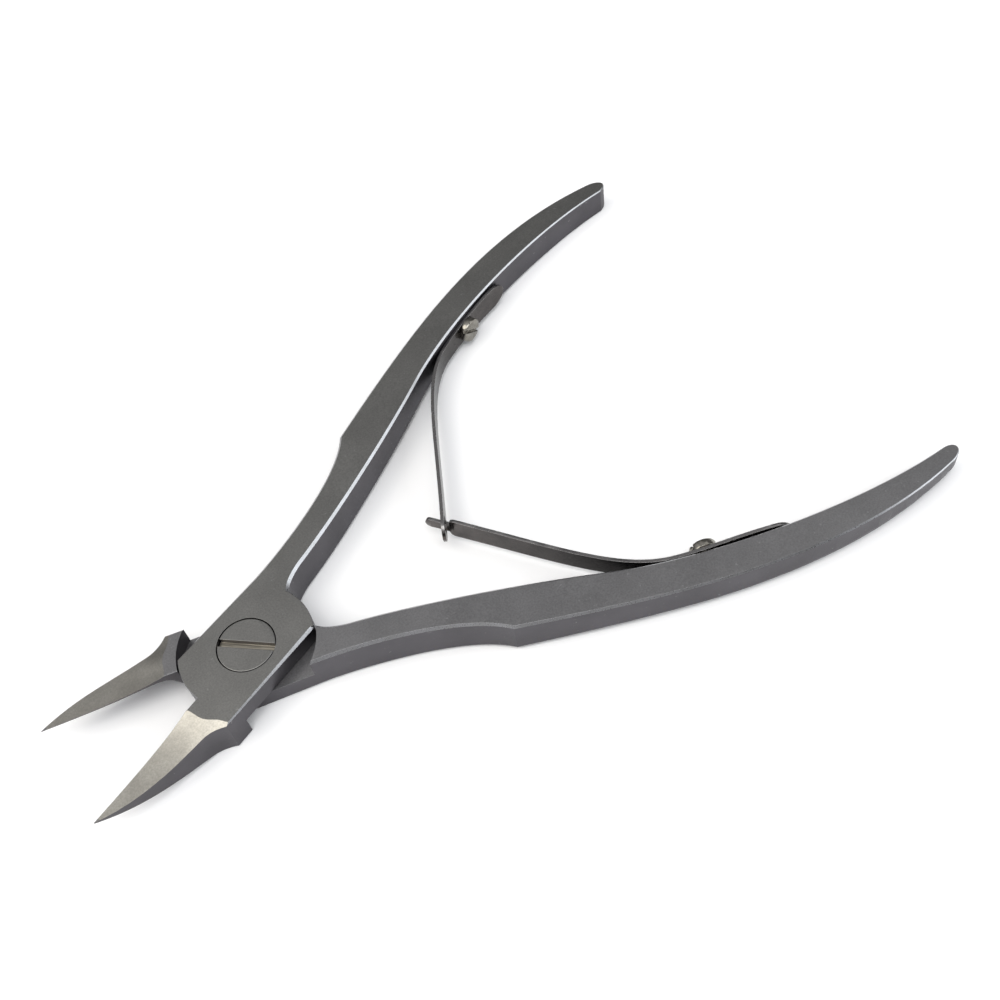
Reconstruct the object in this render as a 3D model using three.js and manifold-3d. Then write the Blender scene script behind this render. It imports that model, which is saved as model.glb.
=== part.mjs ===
// Cuticle nipper with a lap joint and two interlocking leaf springs.
// Millimetres. X runs from the jaws to the handles, Z is the pivot axis, and z = 0 is the face it
// lies on. The handles are modelled open, as the springs hold them.
import * as THREE from 'three';
import { mergeVertices } from 'three/addons/utils/BufferGeometryUtils.js';
import Module from 'manifold-3d';

const wasm = await Module();
wasm.setup();

const DEGREE = Math.PI / 180;

// Joint
const THICKNESS = 6.2;
const LAP_HEIGHT = 3.1;
const LAP_GAP = 0.1;
const DISC_RADIUS = 9.35;
const RECESS_RADIUS = 9.55;
const STRIP_ANGLE = 16.5 * DEGREE;
const STRIP_OUTER = 6.3;
const STRIP_INNER = 5.95;
const EDGE_CHAMFER = 0.4;
const END_CHAMFER = 0.15;
const WIDEST_CHAMFER_X = 1;
const DISC_CHAMFER = 0.08;
const JAW_CHAMFER = 0.05;

// Pivot screw
const HEAD_RADIUS = 4.0;
const HEAD_HEIGHT = 1.7;
const HEAD_CLEARANCE = 0.1;
const SHANK_RADIUS = 2.5;
const RUNNING_CLEARANCE = 0.05;
const PIVOT_SLOT_WIDTH = 1.05;
const PIVOT_SLOT_DEPTH = 0.8;
const PIVOT_SLOT_ANGLE = -45 * DEGREE;

// Jaws
const CUT_ANGLE = 196.2 * DEGREE;
const JAW_REACH = 28.8;
const JAW_ROOT_X = -9.0;
const SHOULDER_X = -8.0;
const GRIND_START = [-10.9, -3.2];
const GRIND_ANGLE = 213.7 * DEGREE;
const GRIND_DEPTH = 1.85;
const GRIND_LENGTH = 5;
const GRIND_RUN = 26;
const GRIND_BULGE = 0.5;
const GRIND_BULGE_WIDTH = 5.2;
const TIP_LAND = 0.15;
const LAND_GROWTH = 0.2;
const HEEL_LAND = 4;
const HEEL_POWER = 14;
const RIDGE_SHARE = 0.75;
const RIDGE_POWER = 1.2;

// Handles
const HANDLE_END_X = 94.6;
const TOP_DROP = 0.4;
const TOP_BOW = 1.3;
const BOW_START_X = 25;
const DROP_START_X = 12;
const DROP_END_X = 50;
const ARCH_HEIGHT = 0.85;
const ARCH_END_X = 82;
const NOSE_ROUND = 1.3;
const FIRST_RUNG_X = 13;
const LAST_RUNG_X = 93.5;
const RUNGS = 36;
const BELLY_START_X = 44;
const BELLY_FULL_X = 88;
const BELLY_RADIUS = 2.2;

// Plan of side A, as cubic Bezier curves: two control points and an end for each, in order round
// the outline. Each starts where the one before it ends. Side B is its mirror image, but for the
// inside of the grip, which is ground a little slimmer.
const JAW_BACK = [[-21.5, -9.4], [-16.5, -8.35], [-11.3, -7.75]];
const JAW_HEEL_CONTROL = [-9.6, -7.6];
const HANDLE_ROOT_ANGLE = 20.5 * DEGREE;
const HANDLE_ROOT = [[9.3, 4.4], [10.6, 5.3], [12.5, 6.2]];
const SHANK_INSIDE = [[21, 9.6], [35.5, 17.4], [43.8, 22.6]];
const GRIP_INSIDE = {
  a: [[54.6, 29.4], [76.5, 36.6], [92.9, 37.1]],
  b: [[54.6, 29.5], [76.5, 36.85], [92.9, 37.45]],
};
const NOSE_INSIDE = [[93.9, 37.5], [HANDLE_END_X, 37.9], [HANDLE_END_X, 38.5]];
const NOSE_OUTSIDE = [[HANDLE_END_X, 39.2], [93.4, 39.85], [92.2, 39.95]];
const GRIP_OUTSIDE = [[69.6, 42.2], [48.4, 31.5], [28.9, 21.4]];
const SHANK_OUTSIDE = [[24.2, 14.6], [9.0, 9.2], [6.0, 8.35]];

// Leaf springs, in plan on side A: a tail along the handle, a long bend and a straight leaf. The
// tail of leaf B is longer and stands off its handle until close to its end.
const LEAF_THICKNESS = 0.5;
const LEAF_HEIGHT = 2.85;
const TAIL_END = { a: [67.3, 31.85], b: [68.6, 32.65] };
const TAIL_END_ANGLE = { a: 14 * DEGREE, b: 28 * DEGREE };
const BEND_START = { a: [52.0, 26.5], b: [52.15, 26.1] };
const BEND_START_ANGLE = 26.4 * DEGREE;
const TAIL_HANDLE = 5.4;
const BEND_HANDLE = 7.5;
const LEAF_ANGLE = 57.6 * DEGREE;
const LEAF_HANDLE = 17.3;
const CROSSING_X = 32.3;
const TAIL_WIDTH = 4.0;
const WAIST_WIDTH = 3.3;
const TIP_WIDTH = 3.6;
const TAIL_ROUND_LENGTH = 3.2;
const TIP_BEYOND_CROSSING = 2.5;
const TONGUE_WIDTH = 1.7;
const TONGUE_LENGTH = 2.8;
const SHOULDER_BEFORE_CROSSING = 0.9;
const LEAF_SLOT_LENGTH = 2.4;
const LEAF_SLOT_WIDTH = 2.2;

// Spring screws
const SCREW_FROM_TAIL = { a: 10.3, b: 12.7 };
const SCREW_HEAD_RADIUS = 2.0;
const SCREW_HEAD_HEIGHT = 1.2;
const SCREW_SHANK_RADIUS = 1.0;
const SCREW_SHANK_LENGTH = 2.8;
const SCREW_SLOT_WIDTH = 0.6;
const SCREW_SLOT_DEPTH = 0.55;
const SCREW_SLOT_TURN = 35 * DEGREE;
const SCREW_HEAD_ROUND = 0.35;
const SCREW_SEAT_GAP = 0.03;
const HOLE_CLEARANCE = 0.1;

const CURVE_SEGMENTS = 28;
const ROUND_SEGMENTS = 64;
const SMALL_ROUND_SEGMENTS = 32;

// ---------- solids ----------

function toManifold(geometry) {
  const plain = geometry.clone();
  plain.deleteAttribute('normal');
  plain.deleteAttribute('uv');
  const merged = mergeVertices(plain, 1e-5);
  return new wasm.Manifold(new wasm.Mesh({
    numProp: 3,
    vertProperties: new Float32Array(merged.attributes.position.array),
    triVerts: new Uint32Array(merged.index.array),
  }));
}

function toGeometry(solid) {
  const mesh = solid.getMesh();
  const geometry = new THREE.BufferGeometry();
  geometry.setAttribute('position', new THREE.BufferAttribute(new Float32Array(mesh.vertProperties), 3));
  geometry.setIndex(new THREE.BufferAttribute(new Uint32Array(mesh.triVerts), 1));
  const flat = geometry.toNonIndexed();
  flat.computeVertexNormals();
  return flat;
}

// Upright cylinder between two heights.
function cylinder(radius, low, high, segments = ROUND_SEGMENTS) {
  const geometry = new THREE.CylinderGeometry(radius, radius, high - low, segments);
  geometry.rotateX(Math.PI / 2);
  geometry.translate(0, 0, (low + high) / 2);
  return toManifold(geometry);
}

function box(sizeX, sizeY, sizeZ, centre, turn = 0) {
  const geometry = new THREE.BoxGeometry(sizeX, sizeY, sizeZ);
  geometry.rotateZ(turn);
  geometry.translate(centre[0], centre[1], centre[2]);
  return toManifold(geometry);
}

// Closed solid through a row of matching sections, each a loop of [x, y, z] points.
function loft(sections) {
  const count = sections[0].length;
  const positions = sections.flat(2);
  const faces = [];
  for (let ring = 0; ring < sections.length - 1; ring += 1) {
    for (let i = 0; i < count; i += 1) {
      const next = (i + 1) % count;
      const a = ring * count + i;
      const b = ring * count + next;
      faces.push(a, b, b + count, a, b + count, a + count);
    }
  }
  const last = (sections.length - 1) * count;
  for (const start of [0, last]) {
    const corners = sections[start / count].map((p) => new THREE.Vector2(p[1], p[2]));
    const turned = THREE.ShapeUtils.isClockWise(corners) !== (start === 0);
    for (const triangle of THREE.ShapeUtils.triangulateShape(corners, [])) {
      const ordered = turned ? [triangle[2], triangle[1], triangle[0]] : triangle;
      faces.push(...ordered.map((i) => start + i));
    }
  }
  const geometry = new THREE.BufferGeometry();
  geometry.setAttribute('position', new THREE.Float32BufferAttribute(positions, 3));
  geometry.setIndex(faces);
  const solid = toManifold(geometry);
  return solid.volume() < 0 ? toManifold(flipped(geometry)) : solid;
}

function flipped(geometry) {
  const turned = geometry.clone();
  const order = Array.from(turned.index.array);
  for (let i = 0; i < order.length; i += 3) {
    [order[i], order[i + 1]] = [order[i + 1], order[i]];
  }
  turned.setIndex(order);
  return turned;
}

// ---------- curves ----------

function smoothstep(from, to, value) {
  const share = THREE.MathUtils.clamp((value - from) / (to - from), 0, 1);
  return share * share * (3 - 2 * share);
}

// Lowest (side -1) or highest (side 1) y of a closed outline on the line at x.
function edgeAt(outline, x, side) {
  const heights = [];
  outline.forEach((a, i) => {
    const b = outline[(i + 1) % outline.length];
    if (a.x !== b.x && (a.x - x) * (b.x - x) <= 0) {
      heights.push(a.y + (b.y - a.y) * (x - a.x) / (b.x - a.x));
    }
  });
  return side < 0 ? Math.min(...heights) : Math.max(...heights);
}

// Point where the strip's edge, a distance from the pivot, meets the disc.
function stripCorner(offset, towardsHandle) {
  const along = towardsHandle * Math.sqrt(DISC_RADIUS ** 2 - offset ** 2);
  const cos = Math.cos(STRIP_ANGLE);
  const sin = Math.sin(STRIP_ANGLE);
  return new THREE.Vector2(along * cos - offset * sin, along * sin + offset * cos);
}

// Plan outline of a half in the plane of side A, counter-clockwise from the strip's corner on the
// jaw side.
function halfOutline(side) {
  const shape = new THREE.Shape();
  const jawCorner = stripCorner(STRIP_OUTER, -1);
  const handleCorner = stripCorner(-STRIP_INNER, 1);
  const shoulderY = SHOULDER_X * Math.tan(STRIP_ANGLE) - STRIP_INNER / Math.cos(STRIP_ANGLE);
  const rootAngle = handleCorner.angle() - 2 * Math.PI;
  shape.moveTo(jawCorner.x, jawCorner.y);
  shape.absarc(0, 0, DISC_RADIUS, jawCorner.angle(), CUT_ANGLE, false);
  shape.lineTo(JAW_REACH * Math.cos(CUT_ANGLE), JAW_REACH * Math.sin(CUT_ANGLE));
  shape.bezierCurveTo(...JAW_BACK.flat());
  shape.quadraticCurveTo(...JAW_HEEL_CONTROL, SHOULDER_X, shoulderY);
  shape.lineTo(handleCorner.x, handleCorner.y);
  shape.absarc(0, 0, DISC_RADIUS, rootAngle, HANDLE_ROOT_ANGLE, false);
  const handleCurves = [
    HANDLE_ROOT, SHANK_INSIDE, GRIP_INSIDE[side], NOSE_INSIDE, NOSE_OUTSIDE, GRIP_OUTSIDE, SHANK_OUTSIDE];
  for (const curve of handleCurves) {
    shape.bezierCurveTo(...curve.flat());
  }
  shape.closePath();
  return shape;
}

const outlinePoints = halfOutline('a').getPoints(CURVE_SEGMENTS);

// ---------- the forged halves ----------

function handleTop(x) {
  const bow = Math.max(0, (x - BOW_START_X) / (HANDLE_END_X - BOW_START_X)) ** 2;
  return THICKNESS - TOP_DROP * smoothstep(DROP_START_X, DROP_END_X, x) - TOP_BOW * bow;
}

// The back of the handle is a shallow arch between the joint and the grip.
function handleBottom(x) {
  return ARCH_HEIGHT * (smoothstep(DROP_START_X, DROP_END_X, x) - smoothstep(DROP_END_X, ARCH_END_X, x));
}

// Width of the chamfer at a point of the outline: fine round the disc and on the jaw, widest where
// the handle leaves the joint and narrower towards both of its ends.
function chamferAt(point) {
  const across = point.y * Math.cos(STRIP_ANGLE) - point.x * Math.sin(STRIP_ANGLE);
  const besideStrip = across > 0.05 - STRIP_INNER && across < STRIP_OUTER - 0.05;
  if (besideStrip && point.length() < DISC_RADIUS + 0.01) {
    return DISC_CHAMFER;
  }
  if (point.x < SHOULDER_X - 0.1) {
    return JAW_CHAMFER;
  }
  const end = point.x < WIDEST_CHAMFER_X ? SHOULDER_X : HANDLE_END_X;
  const fromEnd = THREE.MathUtils.clamp((point.x - end) / (WIDEST_CHAMFER_X - end), 0, 1);
  return THREE.MathUtils.lerp(END_CHAMFER, EDGE_CHAMFER, fromEnd);
}

// Way inwards from each point of a counter-clockwise loop, for an inset of 1 from both its edges.
function insetDirections(loop) {
  return loop.map((point, i) => {
    const before = point.clone().sub(loop.at(i - 1)).normalize();
    const after = loop[(i + 1) % loop.length].clone().sub(point).normalize();
    const sum = new THREE.Vector2(-before.y - after.y, before.x + after.x);
    return sum.divideScalar(1 + before.dot(after));
  });
}

// The outline as strips across the handle and one piece for the joint and jaw, each a list of
// indices, so that its faces can bend along the handle.
function crossStrips(loop) {
  const nose = loop.reduce((best, point, i) => (point.x > loop[best].x ? i : best), 0);
  const nearest = (x, from, to) => {
    let best = from;
    for (let i = from; i <= to; i += 1) {
      best = Math.abs(loop[i].x - x) < Math.abs(loop[best].x - x) ? i : best;
    }
    return best;
  };
  const range = (from, to) => Array.from({ length: to - from + 1 }, (_, i) => from + i);
  const rungs = stations(FIRST_RUNG_X, LAST_RUNG_X, RUNGS).map((x) => [
    nearest(x, Math.floor(loop.length / 4), nose), nearest(x, nose, loop.length - 1)]);
  const strips = [[...range(rungs[0][1], loop.length - 1), ...range(0, rungs[0][0])]];
  rungs.slice(1).forEach(([inside, outside], i) => {
    strips.push([...range(rungs[i][0], inside), ...range(outside, rungs[i][1])]);
  });
  strips.push(range(...rungs.at(-1)));
  return strips;
}

// The half as one closed shell: chamfered walls and two faces that follow the handle's curves.
function blank(side) {
  const loop = halfOutline(side).getPoints(CURVE_SEGMENTS).slice(0, -1);
  const inward = insetDirections(loop);
  const ring = (onTop, atFace) => loop.flatMap((point, i) => {
    const chamfer = chamferAt(point);
    const place = point.clone().addScaledVector(inward[i], atFace ? chamfer : 0);
    const face = onTop ? handleTop(place.x) : handleBottom(place.x);
    const depth = atFace ? 0 : chamfer;
    return [place.x, place.y, face + (onTop ? -depth : depth)];
  });
  const rings = [ring(false, true), ring(false, false), ring(true, false), ring(true, true)];
  const count = loop.length;
  const faces = [];
  for (let level = 0; level < rings.length - 1; level += 1) {
    for (let i = 0; i < count; i += 1) {
      const a = level * count + i;
      const b = level * count + (i + 1) % count;
      faces.push(a, b, b + count, a, b + count, a + count);
    }
  }
  const top = (rings.length - 1) * count;
  for (const strip of crossStrips(loop)) {
    for (const corners of THREE.ShapeUtils.triangulateShape(strip.map((i) => loop[i]), [])) {
      const [a, b, c] = corners.map((corner) => strip[corner]);
      faces.push(a, c, b, top + a, top + b, top + c);
    }
  }
  const geometry = new THREE.BufferGeometry();
  geometry.setAttribute('position', new THREE.Float32BufferAttribute(rings.flat(), 3));
  geometry.setIndex(faces);
  return toManifold(geometry);
}

// Depth of the hollow grind on the jaw's face, a distance along the wheel's path.
function grindDepth(along) {
  return GRIND_DEPTH * (1 - Math.exp(-Math.max(0, along) / GRIND_LENGTH));
}

// Everything above the ground face. The face starts on a line that bulges towards the tip.
function faceGrind() {
  const clear = 2;
  const breadth = 20;
  const profile = new THREE.Shape();
  profile.moveTo(0, clear);
  for (const along of stations(0, GRIND_RUN, GRIND_RUN)) {
    profile.lineTo(along, -grindDepth(along));
  }
  profile.lineTo(GRIND_RUN, clear);
  const geometry = new THREE.ExtrudeGeometry(profile, { depth: breadth, steps: 30, bevelEnabled: false });
  geometry.translate(0, 0, -breadth / 2);
  geometry.rotateX(Math.PI / 2);
  const position = geometry.attributes.position;
  for (let i = 0; i < position.count; i += 1) {
    const share = THREE.MathUtils.clamp(position.getY(i) / GRIND_BULGE_WIDTH, 0, 1);
    const bulge = GRIND_BULGE * (1 - Math.cos(2 * Math.PI * share)) / 2;
    position.setX(i, position.getX(i) + bulge);
  }
  geometry.rotateZ(GRIND_ANGLE);
  geometry.translate(GRIND_START[0], GRIND_START[1], THICKNESS);
  return toManifold(geometry);
}

// Bevel on the back of the jaw, which leaves a narrow land along the cutting edge. It runs down to
// a ridge near the outer wall, and the ridge itself rises to the tip.
function backBevel() {
  const tipX = JAW_REACH * Math.cos(CUT_ANGLE);
  const steps = 28;
  const sections = stations(-1, steps, steps + 1).map((step) => {
    const x = tipX + (JAW_ROOT_X - tipX) * step / steps;
    const share = Math.max(0, step / steps);
    const innerY = x * Math.tan(CUT_ANGLE);
    const outerY = edgeAt(outlinePoints, Math.max(x, tipX), -1);
    const along = (x - GRIND_START[0]) * Math.cos(GRIND_ANGLE)
      + (innerY - GRIND_START[1]) * Math.sin(GRIND_ANGLE);
    const land = TIP_LAND + LAND_GROWTH * share + HEEL_LAND * share ** HEEL_POWER;
    const edge = THICKNESS - grindDepth(along) - land;
    const ridgeY = Math.min(innerY + (outerY - innerY) * RIDGE_SHARE, innerY - 0.02);
    const tipRidge = THICKNESS - GRIND_DEPTH - TIP_LAND;
    const ridge = Math.min(edge, tipRidge * (1 - share) ** RIDGE_POWER);
    return [
      [x, innerY + 2, edge],
      [x, innerY, edge],
      [x, ridgeY, ridge],
      [x, outerY - 2, ridge - 0.01],
      [x, outerY - 2, -2],
      [x, innerY + 2, -2],
    ];
  });
  return loft(sections);
}

// Rounding of the handle's outer lower edge, growing towards the end.
function bellyRound() {
  const sections = stations(BELLY_START_X, HANDLE_END_X + 0.5, 30).map((x) => {
    const radius = 0.05 + BELLY_RADIUS * smoothstep(BELLY_START_X, BELLY_FULL_X, x);
    const y = edgeAt(outlinePoints, Math.min(x, HANDLE_END_X - 0.01), 1);
    const low = handleBottom(x);
    return [
      [x, y + 1, low - 1],
      [x, y + 1, low + radius],
      [x, y, low + radius],
      [x, y - 0.12 * radius, low + 0.5 * radius],
      [x, y - 0.5 * radius, low + 0.12 * radius],
      [x, y - radius, low],
      [x, y - radius, low - 1],
    ];
  });
  return loft(sections);
}

// Rounding under the end of the handle.
function noseRound() {
  const sections = stations(0, 1.25, 10).map((share) => {
    const rise = NOSE_ROUND * (1 - Math.sqrt(Math.max(0, 1 - share ** 2)));
    const x = HANDLE_END_X + NOSE_ROUND * (share - 1);
    return [[x, 30, -1], [x, 45, -1], [x, 45, rise], [x, 30, rise]];
  });
  return loft(sections);
}

function screwHole(side, radius, depth) {
  const hole = cylinder(radius, -2, depth, SMALL_ROUND_SEGMENTS);
  return toManifold(placeOnTail(side, toGeometry(hole)));
}

// One forging in the plane of side A, before its lap is cut.
function forging(side) {
  return blank(side)
    .subtract(faceGrind())
    .subtract(backBevel())
    .subtract(bellyRound())
    .subtract(noseRound())
    .subtract(screwHole(side, SCREW_SHANK_RADIUS + HOLE_CLEARANCE, SCREW_SHANK_LENGTH + 0.4));
}

function upperHalf() {
  const headSeat = THICKNESS - HEAD_HEIGHT - HEAD_CLEARANCE;
  const solid = forging('a')
    .subtract(cylinder(RECESS_RADIUS, -1, LAP_HEIGHT + LAP_GAP / 2))
    .subtract(cylinder(SHANK_RADIUS + RUNNING_CLEARANCE, -1, THICKNESS + 1))
    .subtract(cylinder(HEAD_RADIUS + HEAD_CLEARANCE, headSeat, THICKNESS + 1));
  return toGeometry(solid);
}

function lowerHalf() {
  const solid = forging('b')
    .mirror([0, 1, 0])
    .subtract(cylinder(RECESS_RADIUS, LAP_HEIGHT - LAP_GAP / 2, THICKNESS + 1))
    .subtract(cylinder(SHANK_RADIUS + RUNNING_CLEARANCE, -1, THICKNESS + 1));
  return toGeometry(solid);
}

// ---------- screws ----------

function pivotScrew() {
  const profile = [
    [0, 0],
    [SHANK_RADIUS - 0.25, 0],
    [SHANK_RADIUS, 0.25],
    [SHANK_RADIUS, THICKNESS - HEAD_HEIGHT],
    [HEAD_RADIUS, THICKNESS - HEAD_HEIGHT],
    [HEAD_RADIUS, THICKNESS - 0.1],
    [HEAD_RADIUS - 0.1, THICKNESS],
    [0, THICKNESS],
  ].map(([r, z]) => new THREE.Vector2(r, z));
  const geometry = new THREE.LatheGeometry(profile, ROUND_SEGMENTS);
  geometry.rotateX(Math.PI / 2);
  const slotTop = THICKNESS + 1;
  const slotFloor = THICKNESS - PIVOT_SLOT_DEPTH;
  const slot = box(
    3 * HEAD_RADIUS, PIVOT_SLOT_WIDTH, slotTop - slotFloor,
    [0, 0, (slotTop + slotFloor) / 2], PIVOT_SLOT_ANGLE);
  return toGeometry(upright(geometry).subtract(slot));
}

// Lathe geometry as a solid, whichever way its faces were wound.
function upright(geometry) {
  const solid = toManifold(geometry);
  return solid.volume() < 0 ? toManifold(flipped(geometry)) : solid;
}

// Moves a shape that stands on a leaf's tail, with +Z into the handle, to its place in the plane
// of side A.
function placeOnTail(side, geometry) {
  const { point, along } = leafAt(side, SCREW_FROM_TAIL[side]);
  const matrix = new THREE.Matrix4().makeBasis(
    new THREE.Vector3(-along.x, -along.y, 0),
    new THREE.Vector3(0, 0, -1),
    new THREE.Vector3(along.y, -along.x, 0));
  matrix.setPosition(point.x, point.y, LEAF_HEIGHT);
  return geometry.clone().applyMatrix4(matrix);
}

function springScrew(side) {
  const underHead = -LEAF_THICKNESS / 2 - SCREW_SEAT_GAP;
  const headTop = underHead - SCREW_HEAD_HEIGHT;
  const profile = [
    [0, headTop],
    [SCREW_HEAD_RADIUS - SCREW_HEAD_ROUND, headTop],
    [SCREW_HEAD_RADIUS - 0.3 * SCREW_HEAD_ROUND, headTop + 0.3 * SCREW_HEAD_ROUND],
    [SCREW_HEAD_RADIUS, headTop + SCREW_HEAD_ROUND],
    [SCREW_HEAD_RADIUS, underHead],
    [SCREW_SHANK_RADIUS, underHead],
    [SCREW_SHANK_RADIUS, SCREW_SHANK_LENGTH],
    [0, SCREW_SHANK_LENGTH],
  ].map(([r, z]) => new THREE.Vector2(r, z));
  const geometry = new THREE.LatheGeometry(profile, SMALL_ROUND_SEGMENTS);
  geometry.rotateX(Math.PI / 2);
  const slot = box(
    3 * SCREW_HEAD_RADIUS, SCREW_SLOT_WIDTH, 2 * SCREW_SLOT_DEPTH,
    [0, 0, headTop], SCREW_SLOT_TURN);
  const solid = toManifold(placeOnTail(side, toGeometry(upright(geometry).subtract(slot))));
  return toGeometry(side === 'a' ? solid : solid.mirror([0, 1, 0]));
}

// ---------- leaf springs ----------

function towards(from, angle, distance) {
  return new THREE.Vector2(
    from[0] + distance * Math.cos(angle), from[1] + distance * Math.sin(angle));
}

// Centre line of a leaf in plan, from the end of its tail to where the two leaves cross and on.
function leafCurve(side) {
  const crossing = [CROSSING_X, 0];
  const tailEnd = TAIL_END[side];
  const bendStart = BEND_START[side];
  const beyond = TONGUE_LENGTH + TIP_BEYOND_CROSSING;
  const path = new THREE.CurvePath();
  path.add(new THREE.CubicBezierCurve(
    new THREE.Vector2(...tailEnd),
    towards(tailEnd, TAIL_END_ANGLE[side], -TAIL_HANDLE),
    towards(bendStart, BEND_START_ANGLE, TAIL_HANDLE),
    new THREE.Vector2(...bendStart)));
  path.add(new THREE.CubicBezierCurve(
    new THREE.Vector2(...bendStart),
    towards(bendStart, BEND_START_ANGLE, -BEND_HANDLE),
    towards(crossing, LEAF_ANGLE, LEAF_HANDLE),
    new THREE.Vector2(...crossing)));
  path.add(new THREE.LineCurve(
    new THREE.Vector2(...crossing), towards(crossing, LEAF_ANGLE, -beyond)));
  return path;
}

const leafLines = { a: leafCurve('a'), b: leafCurve('b') };

// Lengths along a leaf to the start of its bend and to the crossing.
function leafLengths(side) {
  const [bendStart, crossing] = leafLines[side].getCurveLengths();
  return { bendStart, crossing };
}

function leafAt(side, length) {
  const line = leafLines[side];
  const share = Math.min(1, length / line.getLength());
  return { point: line.getPointAt(share), along: line.getTangentAt(share) };
}

function leafWidth(side, length) {
  const { bendStart, crossing } = leafLengths(side);
  const tailShare = Math.min(1, length / bendStart);
  const tipShare = (length - bendStart) / (crossing - bendStart);
  return length < bendStart
    ? THREE.MathUtils.lerp(TAIL_WIDTH, WAIST_WIDTH, tailShare)
    : THREE.MathUtils.lerp(WAIST_WIDTH, TIP_WIDTH, tipShare);
}

// Share of the full width left near an end that is rounded over a length.
function roundedEnd(fromEnd, roundLength) {
  const inside = THREE.MathUtils.clamp(1 - fromEnd / roundLength, 0, 1);
  return Math.sqrt(Math.max(0.003, 1 - inside ** 2));
}

function stations(from, to, count) {
  return Array.from({ length: count + 1 }, (_, i) => from + (to - from) * i / count);
}

// Leaf as sections across the strip, with its half width given along its length.
function leafSolid(side, lengths, halfWidthAt) {
  const sections = lengths.map((length) => {
    const { point, along } = leafAt(side, length);
    const half = halfWidthAt(length);
    const offset = new THREE.Vector2(-along.y, along.x).multiplyScalar(LEAF_THICKNESS / 2);
    return [
      [point.x + offset.x, point.y + offset.y, LEAF_HEIGHT - half],
      [point.x + offset.x, point.y + offset.y, LEAF_HEIGHT + half],
      [point.x - offset.x, point.y - offset.y, LEAF_HEIGHT + half],
      [point.x - offset.x, point.y - offset.y, LEAF_HEIGHT - half],
    ];
  });
  return loft(sections).subtract(screwHole(side, SCREW_SHANK_RADIUS + 1.5 * HOLE_CLEARANCE, 2));
}

function tailStations(bendStart) {
  return [...stations(0, TAIL_ROUND_LENGTH, 8), ...stations(5, bendStart, 8)];
}

// Leaf of side A: rounded tip with a slot that takes the other leaf's tongue.
function slottedLeaf() {
  const { bendStart, crossing } = leafLengths('a');
  const end = crossing + TIP_BEYOND_CROSSING;
  const tipRound = TIP_WIDTH / 2;
  const lengths = [
    ...tailStations(bendStart),
    ...stations(bendStart, end - tipRound, 28).slice(1),
    ...stations(end - tipRound, end, 6).slice(1),
  ];
  const leaf = leafSolid('a', lengths, (length) => 0.5 * leafWidth('a', length)
    * Math.min(roundedEnd(length, TAIL_ROUND_LENGTH), roundedEnd(end - length, tipRound)));
  return toGeometry(leaf.subtract(slotTool()));
}

function slotTool() {
  const outline = new THREE.Shape();
  const long = LEAF_SLOT_LENGTH / 2;
  const high = LEAF_SLOT_WIDTH / 2;
  const corner = LEAF_SLOT_WIDTH / 4;
  outline.moveTo(-long + corner, -high);
  outline.absarc(long - corner, -high + corner, corner, -Math.PI / 2, 0, false);
  outline.absarc(long - corner, high - corner, corner, 0, Math.PI / 2, false);
  outline.absarc(-long + corner, high - corner, corner, Math.PI / 2, Math.PI, false);
  outline.absarc(-long + corner, -high + corner, corner, Math.PI, 1.5 * Math.PI, false);
  const depth = 4 * LEAF_THICKNESS;
  const geometry = new THREE.ExtrudeGeometry(outline, { depth, bevelEnabled: false, curveSegments: 6 });
  geometry.translate(0, 0, -depth / 2);
  geometry.rotateX(Math.PI / 2);
  geometry.rotateZ(LEAF_ANGLE);
  geometry.translate(CROSSING_X, 0, LEAF_HEIGHT);
  return toManifold(geometry);
}

// Leaf of side B: round shoulders and a narrow tongue.
function tonguedLeaf() {
  const { bendStart, crossing } = leafLengths('b');
  const shoulder = crossing - SHOULDER_BEFORE_CROSSING;
  const end = crossing + TONGUE_LENGTH;
  const tongue = TONGUE_WIDTH / 2;
  const shoulderRound = (TIP_WIDTH - TONGUE_WIDTH) / 2;
  const lengths = [
    ...tailStations(bendStart),
    ...stations(bendStart, shoulder - shoulderRound, 26).slice(1),
    ...stations(shoulder - shoulderRound, shoulder, 5).slice(1),
    ...stations(shoulder + 0.02, end - tongue, 3),
    ...stations(end - tongue, end, 6).slice(1),
  ];
  const halfWidthAt = (length) => {
    if (length > shoulder) {
      return tongue * roundedEnd(end - length, tongue);
    }
    const strip = 0.5 * leafWidth('b', length) * roundedEnd(length, TAIL_ROUND_LENGTH);
    return Math.min(strip, tongue + shoulderRound * roundedEnd(shoulder - length, shoulderRound));
  };
  return toGeometry(leafSolid('b', lengths, halfWidthAt).mirror([0, 1, 0]));
}

// ---------- assembly ----------

function satinSteel() {
  return new THREE.MeshStandardMaterial({ color: 0x8a8985, roughness: 0.42, metalness: 1 });
}

function springSteel() {
  return new THREE.MeshStandardMaterial({ color: 0x6d6862, roughness: 0.36, metalness: 1 });
}

function nickelPlate() {
  return new THREE.MeshStandardMaterial({ color: 0xb3aa98, roughness: 0.22, metalness: 1 });
}

const group = new THREE.Group();

function addPart(name, geometry, material) {
  const mesh = new THREE.Mesh(geometry, material);
  mesh.name = name;
  group.add(mesh);
}

addPart('half_a', upperHalf(), satinSteel());
addPart('half_b', lowerHalf(), satinSteel());
addPart('pivot_screw', pivotScrew(), satinSteel());
addPart('leaf_spring_a', slottedLeaf(), springSteel());
addPart('leaf_spring_b', tonguedLeaf(), springSteel());
addPart('spring_screw_a', springScrew('a'), nickelPlate());
addPart('spring_screw_b', springScrew('b'), nickelPlate());

export default group;
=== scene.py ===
"""Looks of the cuticle nipper: satin steel forgings, polished edges, spring strip and nickelled screws."""

import math

import bmesh
import bpy
from mathutils import Matrix, Vector


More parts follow.
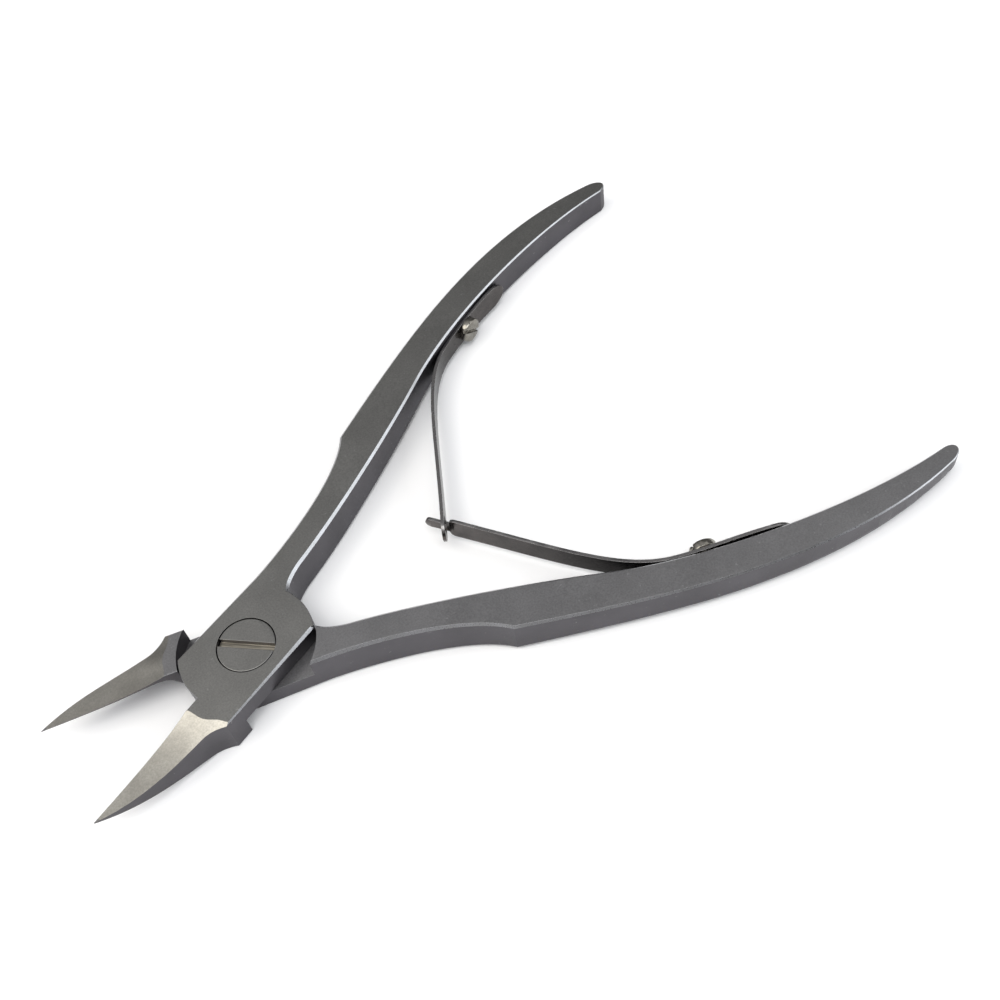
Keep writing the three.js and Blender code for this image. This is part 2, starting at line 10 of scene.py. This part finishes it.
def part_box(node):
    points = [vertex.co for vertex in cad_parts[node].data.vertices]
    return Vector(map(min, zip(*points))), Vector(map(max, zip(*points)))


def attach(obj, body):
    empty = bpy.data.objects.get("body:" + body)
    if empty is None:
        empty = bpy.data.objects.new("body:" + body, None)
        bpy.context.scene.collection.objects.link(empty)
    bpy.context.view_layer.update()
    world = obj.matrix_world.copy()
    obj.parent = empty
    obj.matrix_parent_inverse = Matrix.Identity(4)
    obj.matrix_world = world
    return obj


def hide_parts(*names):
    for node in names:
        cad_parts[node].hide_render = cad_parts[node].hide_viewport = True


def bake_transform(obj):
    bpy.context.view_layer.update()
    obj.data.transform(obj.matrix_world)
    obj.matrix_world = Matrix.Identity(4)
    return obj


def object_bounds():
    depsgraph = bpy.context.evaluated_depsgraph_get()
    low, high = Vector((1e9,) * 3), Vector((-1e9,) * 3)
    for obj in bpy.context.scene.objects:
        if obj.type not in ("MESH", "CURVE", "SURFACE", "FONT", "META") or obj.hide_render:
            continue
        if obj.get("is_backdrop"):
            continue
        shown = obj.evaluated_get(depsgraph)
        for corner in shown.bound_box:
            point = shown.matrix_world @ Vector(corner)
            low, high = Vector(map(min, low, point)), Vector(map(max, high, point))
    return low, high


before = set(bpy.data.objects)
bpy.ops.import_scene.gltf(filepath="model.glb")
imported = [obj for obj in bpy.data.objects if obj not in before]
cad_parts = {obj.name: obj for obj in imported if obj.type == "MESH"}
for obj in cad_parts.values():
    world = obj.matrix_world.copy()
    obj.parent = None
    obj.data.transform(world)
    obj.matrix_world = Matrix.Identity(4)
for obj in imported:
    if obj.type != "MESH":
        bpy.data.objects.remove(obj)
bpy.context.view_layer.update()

MM = 0.001

# Meshes
WELD = 0.002 * MM
FLAT_ANGLE = math.radians(0.02)
SHARP_ANGLE = math.radians(24)
BEVEL_ANGLE = math.radians(35)
SCREW_ROUNDING = 0.05 * MM
LEAF_ROUNDING = 0.1 * MM

# The hollow-ground jaw faces lie beyond this point and slope by this much
JAW_ROOT = Vector((-7.8, 2.4, 3.4)) * MM
GROUND_NORMAL_Z = (0.75, 0.9999)

# How far down the floor of the pivot screw's slot can be
SLOT_DEPTH = (0.4 * MM, 1.2 * MM)

# Materials. Noise scales are features in a metre, and turns are degrees in plan.
CHAMFER_UP = 0.707
BEVEL_SAMPLES = 8
RELIEF = 0.02 * MM
WORN_EDGE = 0.05 * MM
JAW_SCRATCH_TURN = 124
SLOT_SCRATCH_TURN = -45

# Along the tool, where painted shade on the leaf springs deepens towards the bend and fades past it
BEND_SHADE_RISE = (31 * MM, 42 * MM)
BEND_SHADE_FADE = (50 * MM, 58 * MM)

# Camera, with its place round the point it aims at in degrees
CAMERA_AIM = Vector((0.0410, -0.0020, 0.0030))
CAMERA_DISTANCE = 0.17197
CAMERA_AZIMUTH = -118.75
CAMERA_ELEVATION = 54.59
CAMERA_ROLL = -10.54
CAMERA_LENS = 42.84
SENSOR_WIDTH = 36

# Studio
FLOOR_CENTRE = (0.04, 0.0)
FLOOR_HALF_WIDTH = 1.2
FLOOR_GAP = 0.05 * MM
ROOM_COLOUR = (0.98, 0.98, 1.0, 1)
ROOM_BRIGHT_WAY = (-0.6, 0.0, 1.0)
ROOM_WAY_RANGE = (0.35, 1.15)
ROOM_STRENGTH_RANGE = (0.25, 1.05)
LIGHTS_AIM = Vector((0.03, 0, 0))
LIGHTS_DISTANCE = 0.8

# Name, azimuth and elevation in degrees, width, power and colour of each softbox
SOFTBOXES = (
    ("left_softbox", 165, 52, 0.5, 2.0, (1.0, 0.96, 0.88)),
    ("right_softbox", -38, 21, 0.6, 3.4, (0.92, 0.96, 1.0)),
    ("handle_softbox", 8, 52, 0.35, 0.3, (1, 1, 1)),
    ("front_softbox", -110, 70, 0.5, 2.4, (1, 1, 1)),
)


def place(name, data):
    """A new object in the scene that holds some data."""
    thing = bpy.data.objects.new(name, data)
    bpy.context.scene.collection.objects.link(thing)
    return thing


def towards(azimuth, elevation):
    """Unit vector for an azimuth from +X and an elevation, in degrees."""
    a, e = math.radians(azimuth), math.radians(elevation)
    return Vector((math.cos(a) * math.cos(e), math.sin(a) * math.cos(e), math.sin(e)))


# ---------- materials ----------

class Nodes:
    """Short way to write a material's node tree."""

    def __init__(self, name):
        self.material = bpy.data.materials.new(name)
        self.material.use_nodes = True
        self.tree = self.material.node_tree
        self.shader = self.tree.nodes["Principled BSDF"]

    def add(self, kind, inputs=(), **settings):
        """A new node, with its inputs given by name or number as values or as other sockets."""
        node = self.tree.nodes.new("ShaderNode" + kind)
        for key, value in settings.items():
            setattr(node, key, value)
        for key, value in dict(inputs).items():
            self.set(node.inputs[key], value)
        return node

    def set(self, socket, value):
        """Gives an input a value, or links it to another node's output."""
        if isinstance(value, bpy.types.NodeSocket):
            self.tree.links.new(value, socket)
        else:
            socket.default_value = value

    def noise(self, vector, scale, detail=2.0, roughness=0.5):
        inputs = {"Vector": vector, "Scale": scale, "Detail": detail, "Roughness": roughness}
        return self.add("TexNoise", inputs).outputs[0]

    def remap(self, value, low, high, to_low, to_high):
        """A value moved from one range to another and held inside it."""
        node = self.add("MapRange", {0: value, 1: low, 2: high, 3: to_low, 4: to_high}, clamp=True)
        return node.outputs[0]

    def math(self, operation, a, b=0.0, c=0.0):
        return self.add("Math", {0: a, 1: b, 2: c}, operation=operation).outputs[0]

    def mix(self, factor, a, b):
        """Colour a turning to colour b as the factor goes from 0 to 1."""
        node = self.add("Mix", data_type="RGBA")
        self.set(node.inputs[0], factor)
        self.set(node.inputs[6], a)
        self.set(node.inputs[7], b)
        return node.outputs[2]

    def point(self, stretch=(1, 1, 1), turn=0.0):
        """Place on the piece, for a pattern drawn out along axes turned by an angle in plan."""
        where = self.add("TexCoord").outputs["Object"]
        inputs = {"Vector": where, "Scale": stretch, "Rotation": (0, 0, math.radians(turn))}
        return self.add("Mapping", inputs, vector_type="TEXTURE").outputs["Vector"]

    def bare_metal(self, colour, roughness):
        """Makes the surface a metal of a colour and roughness."""
        self.set(self.shader.inputs["Base Color"], colour)
        self.set(self.shader.inputs["Metallic"], 1.0)
        self.set(self.shader.inputs["Roughness"], roughness)


def metal(value, green=1.0, blue=1.0):
    """A metal's colour as RGBA, with green and blue as shares of red."""
    return (value, value * green, value * blue, 1.0)


def edge_mask(n, radius):
    """1 near the edges of the shape and 0 on its open faces, as the rounded normal turns away."""
    rounded = n.add("Bevel", {"Radius": radius}, samples=BEVEL_SAMPLES).outputs["Normal"]
    normal = n.add("NewGeometry").outputs["Normal"]
    along = n.add("VectorMath", {0: rounded, 1: normal}, operation="DOT_PRODUCT").outputs["Value"]
    return n.remap(along, 0.93, 0.998, 1.0, 0.0)


def facing_up(n):
    """How far up the surface faces: 1 on top faces, 0 on walls and -1 underneath."""
    return n.add("SeparateXYZ", {0: n.add("NewGeometry").outputs["Normal"]}).outputs["Z"]


def softened(n, radius, height, strength):
    """Surface normal with rounded edges and fine relief."""
    rounded = n.add("Bevel", {"Radius": radius}, samples=BEVEL_SAMPLES).outputs["Normal"]
    inputs = {"Strength": strength, "Distance": RELIEF, "Height": height, "Normal": rounded}
    n.set(n.shader.inputs["Normal"], n.add("Bump", inputs).outputs["Normal"])


def satin_steel(name, blue, chamfered=1.0):
    """Blasted steel: even fine grain, walls darkened with painted shade, smoother ground chamfers and worn
    edges.
    """
    n = Nodes(name)
    point = n.point()
    grain = n.noise(point, 4200, 3.0, 0.65)
    cloud = n.remap(n.noise(point, 140, 3.0, 0.55), 0.35, 0.65, 0, 1)
    speck = n.noise(point, 1500, 2.0, 0.5)
    wear = n.noise(point, 420, 3.0, 0.6)
    up = facing_up(n)
    face = n.mix(cloud, metal(0.215, 0.99, blue), metal(0.25, 0.99, blue))
    # Painted shade: walls get a darker copy of the steel than the top faces, mixed by how far each faces
    # up.
    shaded_wall = n.mix(cloud, metal(0.082, 0.95, 1.05), metal(0.105, 0.95, 1.06))
    colour = n.mix(n.remap(up, 0.55, 0.93, 0, 1), shaded_wall, face)
    from_chamfer = n.math("ABSOLUTE", n.math("SUBTRACT", up, CHAMFER_UP))
    chamfer = n.remap(from_chamfer, 0.10, 0.18, chamfered, 0)
    colour = n.mix(n.remap(grain, 0.32, 0.68, 0.34, 0.0), colour, metal(0.07))
    colour = n.mix(n.remap(speck, 0.70, 0.76, 0.0, 0.22), colour, metal(0.5))
    ground = n.mix(n.remap(wear, 0.3, 0.6, 0, 1), metal(0.27), metal(0.31, 1, 1.03))
    colour = n.mix(chamfer, colour, ground)
    worn = n.math("MULTIPLY", n.remap(speck, 0.66, 0.72, 0.0, 0.8), n.remap(wear, 0.55, 0.65, 0.0, 1.0))
    edge = n.math("MULTIPLY", edge_mask(n, WORN_EDGE), worn)
    colour = n.mix(edge, colour, metal(0.6))
    rough = n.remap(grain, 0.3, 0.7, 0.34, 0.46)
    n.bare_metal(colour, n.math("SUBTRACT", rough, n.math("MULTIPLY", chamfer, 0.10)))
    softened(n, 0.03 * MM, grain, n.math("MULTIPLY_ADD", chamfer, -0.33, 0.35))
    return n.material


def ground_steel(name, turn, value):
    """A ground jaw face: bright, with fine scratches running across the blade; its value holds painted
    light.
    """
    n = Nodes(name)
    point = n.point()
    lines = n.noise(n.point(stretch=(12, 1, 1), turn=turn), 7000, 3.0, 0.6)
    grain = n.noise(point, 3600, 4.0, 0.65)
    cloud = n.remap(n.noise(point, 260, 2.0, 0.5), 0.35, 0.65, 0, 1)
    colour = n.mix(cloud, metal(0.85 * value, 0.96, 0.86), metal(value, 0.965, 0.87))
    colour = n.mix(n.remap(grain, 0.35, 0.7, 0.40, 0.0), colour, metal(0.14, 0.96, 0.9))
    n.bare_metal(colour, n.remap(lines, 0.3, 0.7, 0.28, 0.40))
    softened(n, 0.03 * MM, lines, 0.4)
    return n.material


def spring_steel():
    """Rolled strip: slightly brown, painted shade darkest at the bend, painted light on top, bright edges
    partly a painted highlight.
    """
    n = Nodes("spring_steel")
    point = n.point()
    along_tool = n.add("SeparateXYZ", {0: point}).outputs["X"]
    shade_to_bend = n.remap(along_tool, *BEND_SHADE_RISE, 0.0, 0.9)
    shade_past_bend = n.remap(along_tool, *BEND_SHADE_FADE, 0.9, 0.35)
    bend = n.math("MINIMUM", shade_to_bend, shade_past_bend)
    lines = n.noise(n.point(stretch=(8, 8, 1)), 6000, 3.0, 0.6)
    cloud = n.remap(n.noise(point, 300, 3.0, 0.6), 0.35, 0.65, 0, 1)
    colour = n.mix(cloud, metal(0.075, 0.93, 0.90), metal(0.125, 0.90, 0.86))
    # Painted shade: darker towards the bend, standing in for the dark handle mirrored in the springs
    # there.
    colour = n.mix(bend, colour, metal(0.022, 0.92, 0.92))
    # Painted light: surfaces of the strip that face up are made lighter.
    colour = n.mix(n.remap(facing_up(n), 0.4, 0.9, 0.0, 1.0), colour, metal(0.20, 0.97, 0.96))
    # Polished edges, made brighter here partly by a painted highlight.
    colour = n.mix(n.math("MULTIPLY", edge_mask(n, WORN_EDGE), 0.5), colour, metal(0.45, 0.98, 0.97))
    n.bare_metal(colour, n.remap(lines, 0.3, 0.7, 0.18, 0.30))
    softened(n, 0.06 * MM, lines, 0.2)
    return n.material


def nickel_plate():
    """Turned and plated screws: warm, glossy, faintly uneven."""
    n = Nodes("nickel_plate")
    point = n.point()
    cloud = n.remap(n.noise(point, 1500, 3.0, 0.6), 0.35, 0.65, 0, 1)
    colour = n.mix(cloud, metal(0.16, 0.95, 0.83), metal(0.27, 0.95, 0.84))
    n.bare_metal(colour, n.remap(cloud, 0, 1, 0.12, 0.22))
    softened(n, 0.10 * MM, n.noise(point, 5000, 2.0), 0.12)
    return n.material


def slot_floor():
    """Bare turned metal in the screwdriver slot: brassy, with scratches along it."""
    n = Nodes("slot_floor")
    lines = n.noise(n.point(stretch=(20, 1, 1), turn=SLOT_SCRATCH_TURN), 5000, 3.0, 0.6)
    colour = n.mix(n.remap(lines, 0.4, 0.6, 0, 1), metal(0.20, 0.93, 0.78), metal(0.42, 0.92, 0.74))
    n.bare_metal(colour, 0.3)
    softened(n, 0.03 * MM, lines, 0.5)
    return n.material


# ---------- pieces ----------

def clean_mesh(node, name):
    """The shape of a CAD node, welded and with its flat faces joined."""
    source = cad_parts[node].data
    mesh = bpy.data.meshes.new(name)
    mesh.from_pydata([v.co[:] for v in source.vertices], [], [f.vertices[:] for f in source.polygons])
    bm = bmesh.new()
    bm.from_mesh(mesh)
    bmesh.ops.remove_doubles(bm, verts=bm.verts, dist=WELD)
    bmesh.ops.dissolve_limit(bm, angle_limit=FLAT_ANGLE, verts=bm.verts, edges=bm.edges)
    return mesh, bm


def finish_mesh(mesh, bm, materials):
    """Smooth shading with crisp edges; big flat faces keep their own normal."""
    bmesh.ops.recalc_face_normals(bm, faces=bm.faces)
    for face in bm.faces:
        face.smooth = True
    for edge in bm.edges:
        two_finishes = len({face.material_index for face in edge.link_faces}) > 1
        edge.smooth = edge.is_manifold and edge.calc_face_angle() < SHARP_ANGLE and not two_finishes
    bm.to_mesh(mesh)
    bm.free()
    for material in materials:
        mesh.materials.append(material)
    piece = place(mesh.name, mesh)
    weighted = piece.modifiers.new("weighted_normals", "WEIGHTED_NORMAL")
    weighted.keep_sharp = True
    weighted.weight = 100
    return piece


def half(side, body):
    """A forged half, with the hollow-ground jaw face in its own material."""
    mesh, bm = clean_mesh("half_" + side, "forged_half_" + side)
    for face in bm.faces:
        centre = face.calc_center_median()
        on_jaw = centre.x < JAW_ROOT.x and abs(centre.y) > JAW_ROOT.y and centre.z > JAW_ROOT.z
        if on_jaw and GROUND_NORMAL_Z[0] < face.normal.z < GROUND_NORMAL_Z[1]:
            face.material_index = 1
    piece = finish_mesh(mesh, bm, [STEEL[side], GROUND[side]])
    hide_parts("half_" + side)
    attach(piece, body)


def bevelled(node, name, width, materials):
    """A small piece whose sharp edges are rounded."""
    mesh, bm = clean_mesh(node, name)
    sharp = [e for e in bm.edges if e.is_manifold and e.calc_face_angle() > BEVEL_ANGLE]
    bmesh.ops.bevel(bm, geom=sharp, offset=width, offset_type="OFFSET", segments=2, profile=0.5,
                    affect="EDGES", clamp_overlap=True)
    return finish_mesh(mesh, bm, materials)


def mark_slot_floor(screw):
    """Gives the flat floor of the pivot screw's slot its own material."""
    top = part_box("pivot_screw")[1].z
    for face in screw.data.polygons:
        if face.normal.z > 0.9 and SLOT_DEPTH[0] < top - face.center.z < SLOT_DEPTH[1]:
            face.material_index = 1


def leaf(side, name):
    """A leaf spring with rounded edges; its tail lies on the handle and the rest stands away from it."""
    piece = bevelled("leaf_spring_" + side, name, LEAF_ROUNDING, [SPRING])
    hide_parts("leaf_spring_" + side)
    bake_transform(piece)


STEEL = {"a": satin_steel("satin_steel_a", 0.94), "b": satin_steel("satin_steel_b", 1.0)}
SCREW_STEEL = satin_steel("satin_steel_screw", 0.94, chamfered=0.0)
# Painted light: jaw a's ground face is given a lighter value than jaw b's, where it catches more light.
GROUND = {
    "a": ground_steel("ground_steel_a", JAW_SCRATCH_TURN, 0.38),
    "b": ground_steel("ground_steel_b", -JAW_SCRATCH_TURN, 0.31),
}
SPRING = spring_steel()
NICKEL = nickel_plate()
SLOT_FLOOR = slot_floor()

half("a", "upper_half")
half("b", "lower_half")
for node, name, body, slot, materials in (
        ("pivot_screw", "slotted_pivot_screw", "lower_half", "satin_steel", [SCREW_STEEL, SLOT_FLOOR]),
        ("spring_screw_a", "cheese_head_screw_a", "upper_half", "bright_screw", [NICKEL]),
        ("spring_screw_b", "cheese_head_screw_b", "lower_half", "bright_screw", [NICKEL])):
    screw = bevelled(node, name, SCREW_ROUNDING, materials)
    if node == "pivot_screw":
        mark_slot_floor(screw)
    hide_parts(node)
    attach(screw, body)
leaf("a", "slotted_leaf_a")
leaf("b", "tongued_leaf_b")


# ---------- stage ----------

def floor():
    """A plain pale floor just under the object."""
    mesh = bpy.data.meshes.new("floor")
    bm = bmesh.new()
    bmesh.ops.create_grid(bm, x_segments=1, y_segments=1, size=FLOOR_HALF_WIDTH)
    bm.to_mesh(mesh)
    bm.free()
    n = Nodes("pale_floor")
    n.set(n.shader.inputs["Base Color"], (0.93, 0.93, 0.93, 1))
    n.set(n.shader.inputs["Roughness"], 0.9)
    mesh.materials.append(n.material)
    plane = place("floor", mesh)
    plane.location = (*FLOOR_CENTRE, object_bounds()[0].z - FLOOR_GAP)
    plane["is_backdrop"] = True


def softbox(name, azimuth, elevation, size, power, tint):
    """A square area light that looks at the joint from a direction round the object."""
    light = bpy.data.lights.new(name, "AREA")
    light.shape = "SQUARE"
    light.size = size
    light.energy = power
    light.color = tint
    way = towards(azimuth, elevation)
    lamp = place(name, light)
    lamp.location = LIGHTS_AIM + way * LIGHTS_DISTANCE
    lamp.rotation_mode = "QUATERNION"
    lamp.rotation_quaternion = way.to_track_quat("Z", "Y")


def room():
    """A soft room, brightest above the jaws and dim at the horizon behind the handles."""
    world = bpy.data.worlds.new("studio")
    bpy.context.scene.world = world
    world.use_nodes = True
    tree = world.node_tree
    background = tree.nodes["Background"]
    way = tree.nodes.new("ShaderNodeTexCoord").outputs["Generated"]
    dot = tree.nodes.new("ShaderNodeVectorMath")
    dot.operation = "DOT_PRODUCT"
    dot.inputs[1].default_value = ROOM_BRIGHT_WAY
    strength = tree.nodes.new("ShaderNodeMapRange")
    for socket, value in zip(strength.inputs[1:5], ROOM_WAY_RANGE + ROOM_STRENGTH_RANGE):
        socket.default_value = value
    tree.links.new(way, dot.inputs[0])
    tree.links.new(dot.outputs["Value"], strength.inputs[0])
    tree.links.new(strength.outputs[0], background.inputs["Strength"])
    background.inputs["Color"].default_value = ROOM_COLOUR


def camera():
    """The camera, above the lower handle's side and a little rolled."""
    data = bpy.data.cameras.new("camera")
    data.lens = CAMERA_LENS
    data.sensor_width = SENSOR_WIDTH
    data.clip_start = 0.01
    data.clip_end = 10
    back = towards(CAMERA_AZIMUTH, CAMERA_ELEVATION)
    eye = place("camera", data)
    eye.location = CAMERA_AIM + back * CAMERA_DISTANCE
    eye.rotation_mode = "QUATERNION"
    level = back.to_track_quat("Z", "Y")
    eye.rotation_quaternion = level @ Matrix.Rotation(math.radians(CAMERA_ROLL), 3, "Z").to_quaternion()
    bpy.context.scene.camera = eye


floor()
room()
for box in SOFTBOXES:
    softbox(*box)
camera()
bpy.context.scene.view_settings.view_transform = "Standard"
